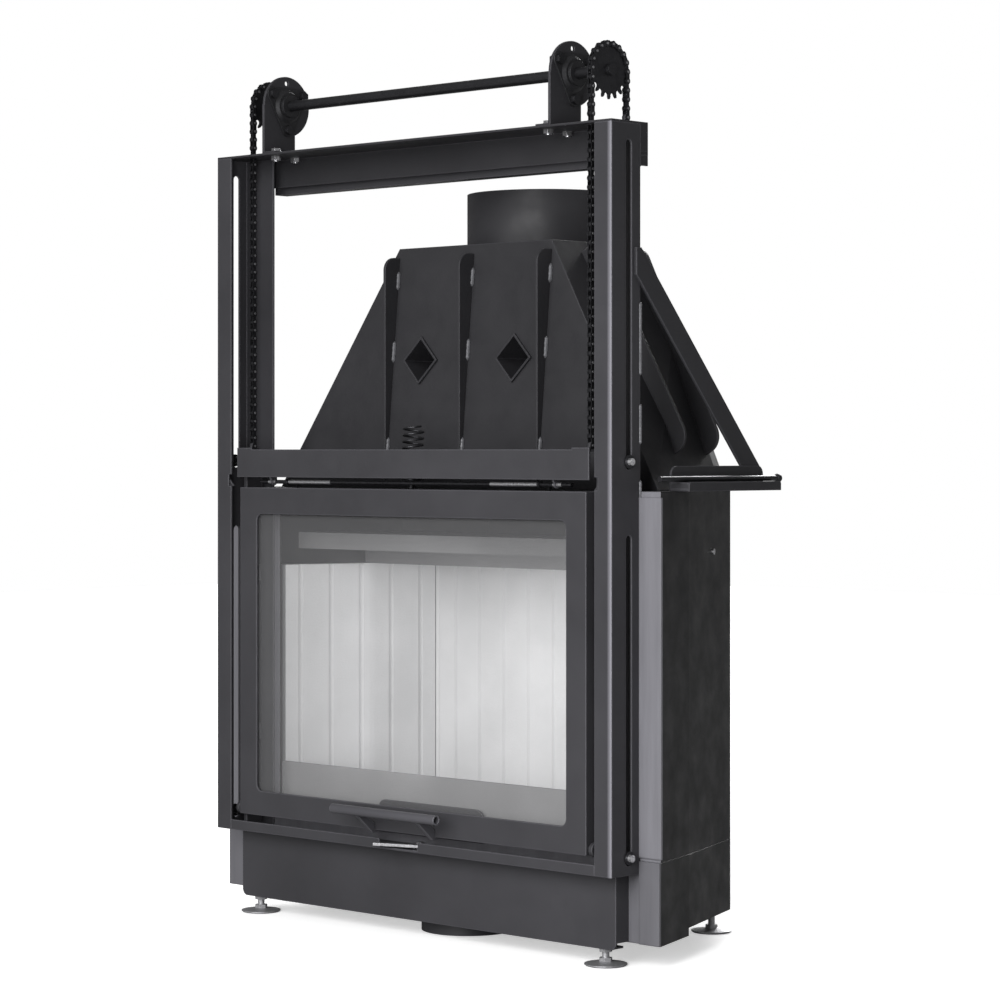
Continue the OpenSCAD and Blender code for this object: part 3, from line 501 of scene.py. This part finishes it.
def tab(left, right, low, high, corner):
    """A plate's outline with its two upper corners rounded: quarter circles between straight edges."""
    corner_points = 7
    turn = np.linspace(0.0, np.pi / 2, corner_points)
    rise = high - corner
    ahead = np.stack([right - corner + corner * np.cos(turn), rise + corner * np.sin(turn)], axis=-1)
    behind = np.stack([left + corner - corner * np.sin(turn), rise + corner * np.cos(turn)], axis=-1)
    return np.vstack([[[left, low], [right, low]], ahead, behind])


def slab(name, axis, low, high, outline):
    """A flat plate in the drawing's millimetres: an outline in the other two axes, between two planes."""
    outline = np.asarray(outline, float)
    count = len(outline)
    level = np.repeat([low, high], count)
    first, second = np.tile(outline, (2, 1)).T
    columns = {"x": (level, first, second), "y": (first, level, second), "z": (first, second, level)}[axis]
    ring = np.arange(count)
    after = np.roll(ring, -1)
    sides = np.stack([ring, after, after + count, ring + count], axis=-1).tolist()
    mesh = bpy.data.meshes.new(name)
    mesh.from_pydata(shop(*columns).T.tolist(), [], sides + [ring.tolist(), (ring + count).tolist()])
    return mesh


def reshaped(name, node, rule, cut=None):
    """A copy of a node's surface whose points are moved by a rule; a cut across at a depth, if one is
    given, comes first and gives the rule points to fold at."""
    shell = bmesh.new()
    shell.from_mesh(NODES[node].data)
    if cut is not None:
        bmesh.ops.remove_doubles(shell, verts=shell.verts, dist=1e-6)
        parts = list(shell.verts) + list(shell.edges) + list(shell.faces)
        bmesh.ops.bisect_plane(shell, geom=parts, plane_co=(0.0, cut, 0.0), plane_no=(0.0, 1.0, 0.0))
    mesh = bpy.data.meshes.new(name)
    shell.to_mesh(mesh)
    shell.free()
    points = field_values(mesh.vertices, "co", float, 3).reshape(-1, 3)
    mesh.vertices.foreach_set("co", rule(points).ravel())
    return joined(name, [mesh])


def raised(points):
    """Lifts the lowest edge: the points within 2 mm of the lowest go up, and the others stay."""
    edge = 0.002
    shorter = 0.0145
    moved = points.copy()
    moved[:, 2] += np.where(points[:, 2] < points[:, 2].min() + edge, shorter, 0.0)
    return moved


def narrowed(points):
    """Draws the hood's sides in behind the fold, by a share that grows with depth times height.
    Below the crown, the rear wall's middle stays as it is, since it holds the ports."""
    taper = 0.484
    ports = 0.146
    crown = 0.97
    low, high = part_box("hood")
    moved = points.copy()
    depth = np.clip((points[:, 1] - HOOD_FOLD) / (high[1] - HOOD_FOLD), 0.0, 1.0)
    height = np.clip((points[:, 2] - low[2]) / (high[2] - low[2]), 0.0, 1.0)
    free = (np.abs(points[:, 0]) > ports) | (height > crown)
    moved[:, 0] *= 1.0 - taper * depth * height * free
    return moved


def bead(name, start, end, radius):
    """A weld bead: overlapping ripples along a line, thicker in each ripple's middle, and thin ends."""
    valley, swell, ripples = 0.84, 0.16, 1.3
    thin_end, thinning = 0.25, 1.2
    fewest, rings_a_radius = 12, 3
    start, end = np.asarray(start), np.asarray(end)
    length = np.linalg.norm(end - start)
    along = np.linspace(0.0, 1.0, max(fewest, int(length / radius * rings_a_radius)))
    ripple = valley + swell * np.abs(np.sin(along * length / radius * ripples))
    taper = np.minimum(1.0, np.minimum(along, 1 - along) * length / radius / thinning + thin_end)
    path = start + along[:, None] * (end - start)
    return swept(name, path, radius * ripple * taper, sides=8)


# Operators

class INSERT_OT_finishes(bpy.types.Operator):
    """Gives each steel, lining and glass node its finish"""
    bl_idname = "insert.finishes"
    bl_label = "Finishes"

    def execute(self, context):
        paint = context.scene.insert_paint
        black, strip, zinc = tuple(paint.black), tuple(paint.strip), tuple(paint.zinc)
        steel, board = tuple(paint.chain), tuple(paint.lining)
        # Limits along X in metres: of the painted highlight along the uprights' front bends, and of the
        # bright bands from the middle plane
        upright_bend_highlight = (0.397, 0.4046)
        # On the chain, the bright bands at the pin ends are painted glints.
        chain_pin_glints = ((0.3433, 0.3441), (0.3519, 0.3527))
        latch_bare = ((0.165, 0.257), (0.286, 0.302))
        screw_heads = ((0.4070, 0.4200),)
        made = {
            "black": paint_material("charcoal_heat_paint", black),
            "front": paint_material("charcoal_front_paint", shade(black, 1.25), bend=upright_bend_highlight),
            "hood": paint_material("charcoal_hood_paint", shade(black, 0.78), edge=2.6),
            "tube": paint_material("handle_satin_paint", shade(black, 2.2), roughness=(0.3, 0.42)),
            "casing": casing_material("charcoal_casing_paint", shade(black, 0.36), strip),
            "base": casing_material("charcoal_base_paint", shade(black, 0.3), shade(strip, 0.7)),
            "zinc": metal_material("zinc_plate", zinc, (0.24, 0.4), metallic=1.0, spots=0.3,
                                   stretch=(1.0, 1.0, 0.1)),
            "feet": metal_material("dull_zinc", shade(zinc, 0.75), (0.4, 0.6), metallic=0.8, spots=0.5),
            "dark": metal_material("oiled_dark_steel", steel, (0.28, 0.46), metallic=0.85, spots=0.5),
            "chain": part_bright_material("oiled_chain_steel", steel, shade(zinc, 0.75), chain_pin_glints),
            "latch": part_bright_material("latch_rod_steel", steel, zinc, latch_bare),
            # The guide screws' heads: zinc made one and a half times as pale, a painted reflection of
            # bright lamps.
            "guide": part_bright_material("guide_screw_steel", steel, shade(zinc, 1.5), screw_heads),
            "iron": iron_material("pressed_iron", (0.035, 0.035, 0.038)),
            "lining": lining_material("vermiculite_board", board),
            "hearth": lining_material("vermiculite_floor", shade(board, 0.38)),
            "baffle": lining_material("vermiculite_baffle", shade(board, 0.27)),
            "glass": glass_material("ceramic_glass"),
        }
        seal_material("braided_seal", tuple(paint.seal))
        metal_material("weld_steel", (0.12, 0.12, 0.13), (0.4, 0.65), metallic=0.15, spots=0.5)
        use = {
            "front": ["left_upright", "right_upright", "carriage_bar", "door_frame", "plinth", "door_sill"],
            "hood": ["hood", "hood_ribs", "air_ducts", "top_beam", "log_stop"],
            "casing": ["body_shell"],
            "base": ["base_shell"],
            "zinc": ["bracket_bolts", "hinge_pins", "air_lever", "lever_screw", "casing_screws"],
            "guide": ["guide_bolts"],
            "latch": ["latch_bar"],
            "feet": ["levelling_feet"],
            "tube": ["handle_tube", "handle_arms"],
            "chain": ["left_front_chain", "right_front_chain", "left_rear_chain", "right_rear_chain",
                      "left_chain_wrap", "right_chain_wrap"],
            "dark": ["left_sprocket", "right_sprocket", "lift_shaft", "guide_bushes", "lock_rod",
                     "bearing_bolts"],
            "iron": ["left_bearing", "right_bearing", "damper_plate", "damper_spindle"],
            "lining": ["back_lining", "side_linings"],
            "hearth": ["hearth", "log_guard"],
            "baffle": ["baffle"],
            "glass": ["door_glass"],
        }
        dressed = {node: key for key, nodes in use.items() for node in nodes}
        for name, obj in NODES.items():
            mesh = obj.data
            mesh.materials.clear()
            mesh.materials.append(made[dressed.get(name, "black")])
            mesh.polygons.foreach_set("material_index", np.zeros(len(mesh.polygons), int))
        return {"FINISHED"}


class INSERT_OT_coil_grip(bpy.types.Operator):
    """Winds the wire grip over its stub and disc"""
    bl_idname = "insert.coil_grip"
    bl_label = "Coil grip"

    def execute(self, context):
        sizes = context.scene.insert_sizes
        foot = shop(-43.5, 62.0, 640.0)
        turns = 8.0
        coil_points = 420
        lean = 0.07
        coil_start = 0.016
        stub_radius, stub_length = 0.005, 0.012
        disc_top, bevel = 0.0148, 0.0006
        turn = np.linspace(0.0, turns * 2 * np.pi, coil_points)
        rise = sizes.grip_lead * turn / (2 * np.pi)
        path = np.stack([sizes.grip_radius * np.cos(turn) + lean * rise, sizes.grip_radius * np.sin(turn),
                         rise + coil_start], axis=-1) + foot
        wire = swept("wire", path, sizes.wire / 2, sides=12)
        edge = sizes.grip_radius + sizes.wire / 2
        profile = [(0, 0.0), (stub_radius, 0.0), (stub_radius, stub_length), (edge - bevel, stub_length),
                   (edge, stub_length + bevel), (edge, disc_top - bevel), (edge - bevel, disc_top),
                   (0, disc_top)]
        stub = revolved("stub", profile, foot)
        grip = add_piece("wire_grip", joined("wire_grip", [wire, stub]), "oiled_dark_steel",
                         "frame")
        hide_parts("coil_grip")
        return {"FINISHED"}


class INSERT_OT_ledge(bpy.types.Operator):
    """Bends the side ledge: a full inner wall, a low outer lip, low ends and a floor between them"""
    bl_idname = "insert.ledge"
    bl_label = "Side ledge"

    def execute(self, context):
        low, high = (drawn(corner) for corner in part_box("side_ledge"))
        sheet, lip, end_height = 3.0, 13.0, 12.4
        wall_corner, lip_corner = 12.0, 4.0
        seam, floor_seam = 0.05, 0.1
        walls = ((low[0], low[0] + sheet, high[2], wall_corner),
                 (high[0] - sheet, high[0], low[2] + lip, lip_corner))
        meshes = [slab("wall", "x", start, end, tab(low[1], high[1], low[2], top, corner))
                  for start, end, top, corner in walls]
        inner, outer = low[0] + sheet + seam, high[0] - sheet - seam
        for start in (low[1] + seam, high[1] - sheet - seam):
            outline = rectangle(inner, outer, low[2] + seam, low[2] + end_height)
            meshes.append(slab("end", "y", start, start + sheet, outline))
        outline = rectangle(inner, outer, low[1] + floor_seam, high[1] - floor_seam)
        meshes.append(slab("floor", "z", low[2] + floor_seam, low[2] + sheet, outline))
        ledge = add_piece("ledge_tray", joined("ledge_tray", meshes), "charcoal_heat_paint",
                          "frame")
        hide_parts("side_ledge")
        return {"FINISHED"}


class INSERT_OT_beam(bpy.types.Operator):
    """Shortens the top beam's rear flange and the counterweight behind it, and adds the beam's cheeks"""
    bl_idname = "insert.beam"
    bl_label = "Top beam"

    def execute(self, context):
        weight = add_piece("counterweight_beam", reshaped("weight", "counterweight", raised),
                           "charcoal_heat_paint", "weight")
        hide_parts("counterweight")

        cheek_inside, cheek_outside = 402.05, 404.95
        cheek_front, cheek_rear, cheek_height = 60.05, 75.95, 20.0
        beam = reshaped("beam", "top_beam", raised)
        base = (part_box("top_beam")[0][2] - FLOOR) * MILLI
        outline = rectangle(cheek_front, cheek_rear, base, base + cheek_height)
        cheeks = [slab("cheek", "x", side * cheek_inside, side * cheek_outside, outline)
                  for side in (-1, 1)]
        channel = add_piece("beam_channel", joined("beam_channel", [beam] + cheeks), "charcoal_hood_paint",
                            "frame")
        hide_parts("top_beam")
        return {"FINISHED"}


class INSERT_OT_hood(bpy.types.Operator):
    """Folds the smoke hood's upper rear corners in"""
    bl_idname = "insert.hood"
    bl_label = "Smoke hood"

    def execute(self, context):
        hood = add_piece("smoke_hood", reshaped("smoke_hood", "hood", narrowed, HOOD_FOLD),
                         "charcoal_hood_paint", "frame", smooth_angle=10.0)
        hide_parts("hood")
        return {"FINISHED"}


class INSERT_OT_welds(bpy.types.Operator):
    """Runs the visible weld beads along the frame and the hood's ribs"""
    bl_idname = "insert.welds"
    bl_label = "Welds"

    def execute(self, context):
        radius = context.scene.insert_sizes.bead
        # Places and spans in the drawing's millimetres; the hood's front leans back from its foot
        upright_x, upright_y = 405, 60
        upright_spans = ((600, 655), (705, 760), (800, 900))
        rib_places = (-157, 0, 157)
        rib_half = 2.2
        rib_bead = 1.5
        rib_spans = ((672, 716), (830, 862), (940, 968))
        hood_foot, hood_lean, foot_height, hood_height = 118, 32, 640, 363.0
        sunk = 1
        beads = []
        for side in (-1, 1):
            for low, high in upright_spans:
                ends = [shop(side * upright_x, upright_y, z) for z in (low, high)]
                beads.append(bead("bead", *ends, radius))
        for x in rib_places:
            for span in rib_spans:
                for edge in (-rib_half, rib_half):
                    fronts = [hood_foot + hood_lean * (z - foot_height) / hood_height for z in span]
                    ends = [shop(x + edge, front - sunk, z) for front, z in zip(fronts, span)]
                    beads.append(bead("bead", *ends, radius * rib_bead))
        add_piece("weld_beads", joined("weld_beads", beads), "weld_steel", "frame")
        return {"FINISHED"}


class INSERT_OT_washers(bpy.types.Operator):
    """Lays a chamfered washer under each bracket bolt and threads on the bolts' lower ends"""
    bl_idname = "insert.washers"
    bl_label = "Washers and threads"

    def execute(self, context):
        outer = context.scene.insert_sizes.washer
        bracket_places, bolt_rows, bolt_level = (-300.0, 265.0), (26.0, 66.0), 1157.0
        crest, root, half_pitch, steps = 0.0042, 0.0039, 0.0006, 7
        tip_gap = 0.0004
        hole = 0.0040
        under, thick = -0.0049, 0.0014
        lower_chamfer, lower_rim = 0.0004, 0.0003
        upper_chamfer, upper_rim = 0.0006, 0.0008
        meshes = []
        for x in bracket_places:
            for y in bolt_rows:
                centre = shop(x, y, bolt_level)
                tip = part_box("bracket_bolts")[0][2] - centre[2] + tip_gap
                rings = [(crest if step % 2 else root, tip + half_pitch * step) for step in range(steps)]
                threads = [(0, tip)] + rings + [(0, tip + half_pitch * steps)]
                meshes.append(revolved("threads", threads, centre, steps=24))
                washer = [(hole, under), (outer - lower_chamfer, under), (outer, under - lower_rim),
                          (outer, under + upper_rim), (outer - upper_chamfer, under + thick),
                          (hole, under + thick), (hole, under)]
                meshes.append(revolved("washer", washer, centre, steps=32))
        add_piece("bracket_washers", joined("bracket_washers", meshes), "zinc_plate",
                  "frame", smooth_angle=25.0)
        return {"FINISHED"}


class INSERT_OT_seal(bpy.types.Operator):
    """Lays the braided seal round the glass"""
    bl_idname = "insert.seal"
    bl_label = "Glass seal"

    def execute(self, context):
        width = context.scene.insert_sizes.seal_width
        play = 0.0006
        first_turn = 0.0098
        squareness = 0.06
        straight = 0.985
        ring_points, rope_sides = 320, 14
        low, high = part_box("glass_seal")
        middle_x = (low[0] + high[0]) / 2
        middle_z = (low[2] + high[2]) / 2
        half_x = (high[0] - low[0]) / 2 - width / 2 - play
        half_z = (high[2] - low[2]) / 2 - width / 2 - play
        turn = np.linspace(0.0, 2 * np.pi, ring_points, endpoint=False) + first_turn
        ring_x = np.sign(np.cos(turn)) * np.abs(np.cos(turn)) ** squareness * half_x
        ring_z = np.sign(np.sin(turn)) * np.abs(np.sin(turn)) ** squareness * half_z
        path = np.stack([ring_x + middle_x, 0 * turn, ring_z + middle_z], axis=-1)
        out = np.stack([ring_x / half_x, 0 * turn, ring_z / half_z], axis=-1)
        out = np.where(np.abs(out) > straight, np.sign(out), 0.0)
        around = np.linspace(0.0, 2 * np.pi, rope_sides, endpoint=False)
        depth = (high[1] - low[1]) / 2
        points = (path[:, None] + out[:, None] * (width / 2 * np.cos(around))[:, None]
                  + np.array([0.0, 1.0, 0.0]) * (depth * np.sin(around))[:, None])
        points[..., 1] += (low[1] + high[1]) / 2
        seal = add_piece("braided_seal", grid_mesh("braided_seal", points, closed_v=True), "braided_seal",
                         "door")
        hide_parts("glass_seal")
        return {"FINISHED"}


class INSERT_OT_lining_joints(bpy.types.Operator):
    """Points the joints between the back lining and the side linings with fire cement"""
    bl_idname = "insert.lining_joints"
    bl_label = "Lining joints"

    def execute(self, context):
        low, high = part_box("back_lining")
        radius = 0.0042
        inset_x, inset_y = 0.0005, 0.0015
        rings = 24
        joints = []
        for side in (-1, 1):
            path = np.full((rings, 3), (side * (high[0] - inset_x), low[1] + inset_y, 0.0))
            path[:, 2] = np.linspace(low[2], high[2], rings)
            joints.append(swept("joint", path, radius))
        add_piece("lining_joints", joined("lining_joints", joints), "vermiculite_board",
                  "frame")
        return {"FINISHED"}


def add_lamp(name, kind, energy, turn):
    """Links a lamp, turned from pointing straight down by three angles in degrees."""
    lamp = bpy.data.lights.new(name, kind)
    lamp.energy = energy
    made = bpy.data.objects.new(name, lamp)
    made.rotation_euler = [math.radians(angle) for angle in turn]
    bpy.context.scene.collection.objects.link(made)
    return made


def add_panel_lamp(name, energy, turn, where, width, height):
    """Links a rectangular lamp that the camera doesn't see."""
    made = add_lamp(name, "AREA", energy, turn)
    made.data.shape = "RECTANGLE"
    made.data.size = width
    made.data.size_y = height
    made.location = where
    made.visible_camera = False
    return made


def add_camera(scene, lens, azimuth):
    """Links a level camera at the place from which the photograph was taken."""
    camera = bpy.data.objects.new("camera", bpy.data.cameras.new("camera"))
    camera.data.lens = lens
    camera.data.sensor_width = 36.0
    camera.data.shift_y = -0.05
    camera.data.clip_end = 60.0
    camera.location = (3.1286, -3.0804 + FRONT, 0.6972 + FLOOR)
    camera.rotation_euler = (math.radians(90.0), 0.0, azimuth)
    scene.collection.objects.link(camera)
    scene.camera = camera


def add_floor(scene, glow):
    """Lays a square floor: white and glowing to the camera, and grey to the light that bounces off it."""
    reach = 9.0
    corners = np.array([[[x, y, 0.0] for x in (-reach, reach)] for y in (-reach, reach)])
    floor = bpy.data.objects.new("floor", grid_mesh("floor", corners, closed_u=False))
    scene.collection.objects.link(floor)
    made, tree, shader = new_material("pale_floor")
    grain = noise(tree, place(tree), scale=40.0, detail=2.0)
    pale = blend_colours(tree, grain, (0.93, 0.93, 0.93), (0.96, 0.96, 0.96))
    in_camera = tree.nodes.new("ShaderNodeLightPath").outputs["Is Camera Ray"]
    tree.links.new(blend_colours(tree, in_camera, (0.34, 0.34, 0.34), pale), shader.inputs["Base Color"])
    tree.links.new(spread(tree, in_camera, 0.0, 1.0, 0.0, glow), shader.inputs["Emission Strength"])
    shader.inputs["Roughness"].default_value = 0.9
    shader.inputs["Emission Color"].default_value = (1.0, 1.0, 1.0, 1.0)
    floor.data.materials.append(made)


def add_surroundings(scene, room):
    """Puts white all round: full to the camera and through the glass, and dimmer as a light."""
    world = bpy.data.worlds.new("studio")
    scene.world = world
    world.use_nodes = True
    tree = world.node_tree
    tree.nodes.clear()
    out = tree.nodes.new("ShaderNodeOutputWorld")
    back = tree.nodes.new("ShaderNodeBackground")
    back.inputs["Color"].default_value = (1.0, 1.0, 1.0, 1.0)
    rays = tree.nodes.new("ShaderNodeLightPath").outputs
    seen = combine(tree, "MAXIMUM", rays["Is Camera Ray"], rays["Is Transmission Ray"])
    tree.links.new(spread(tree, seen, 0.0, 1.0, room, 1.0), back.inputs["Strength"])
    tree.links.new(back.outputs[0], out.inputs[0])


class INSERT_OT_studio(bpy.types.Operator):
    """Sets the camera, the floor, the white surroundings and the lights"""
    bl_idname = "insert.studio"
    bl_label = "Studio"

    def execute(self, context):
        scene = context.scene
        studio = scene.insert_studio
        add_camera(scene, studio.lens, studio.azimuth)
        add_floor(scene, studio.floor_glow)
        add_surroundings(scene, studio.room)
        # Each sun's name, strength, turn and width, both in degrees
        suns = (("key", studio.key, (67.0, 0.0, 6.0), 44.0),
                ("side", studio.side, (58.0, 0.0, 74.0), 30.0),
                ("rear", studio.rear, (62.0, 0.0, 206.0), 30.0))
        for name, strength, turn, width in suns:
            add_lamp(name, "SUN", strength, turn).data.angle = math.radians(width)
        add_panel_lamp("front_panel", studio.panel, (90.0, 0.0, 25.0), (0.95, -1.55, 0.72), 0.5, 1.3)
        fill = add_panel_lamp("firebox_fill", studio.firebox, (90.0, 0.0, 32.0),
                              shop(70.0, 100.0, 380.0), 0.52, 0.3)
        fill.visible_glossy = False
        scene.view_settings.view_transform = "Standard"
        return {"FINISHED"}


class INSERT_PT_panel(bpy.types.Panel):
    """Lists the steps that dress the insert"""
    bl_idname = "INSERT_PT_panel"
    bl_label = "Fireplace insert"
    bl_space_type = "VIEW_3D"
    bl_region_type = "UI"
    bl_category = "Insert"

    def draw(self, context):
        for group in (context.scene.insert_paint, context.scene.insert_sizes, context.scene.insert_studio):
            box = self.layout.box()
            for field in group.__annotations__:
                box.prop(group, field)
        for step in STEPS:
            self.layout.operator(step.bl_idname)


STEPS = (INSERT_OT_finishes, INSERT_OT_coil_grip, INSERT_OT_ledge, INSERT_OT_beam, INSERT_OT_hood,
         INSERT_OT_welds, INSERT_OT_washers, INSERT_OT_seal, INSERT_OT_lining_joints, INSERT_OT_studio)
CLASSES = (InsertPaint, InsertSizes, InsertStudio) + STEPS + (INSERT_PT_panel,)


def register():
    """Registers the classes, and adds the three groups of settings to the scene."""
    for kind in CLASSES:
        bpy.utils.register_class(kind)
    bpy.types.Scene.insert_paint = bpy.props.PointerProperty(type=InsertPaint)
    bpy.types.Scene.insert_sizes = bpy.props.PointerProperty(type=InsertSizes)
    bpy.types.Scene.insert_studio = bpy.props.PointerProperty(type=InsertStudio)


def unregister():
    """Takes the settings and the classes away again."""
    del bpy.types.Scene.insert_studio
    del bpy.types.Scene.insert_sizes
    del bpy.types.Scene.insert_paint
    for kind in reversed(CLASSES):
        bpy.utils.unregister_class(kind)


def main():
    """Runs each step once."""
    register()
    bpy.ops.insert.finishes()
    bpy.ops.insert.coil_grip()
    bpy.ops.insert.ledge()
    bpy.ops.insert.beam()
    bpy.ops.insert.hood()
    bpy.ops.insert.welds()
    bpy.ops.insert.washers()
    bpy.ops.insert.seal()
    bpy.ops.insert.lining_joints()
    bpy.ops.insert.studio()


if __name__ == "__main__":
    main()
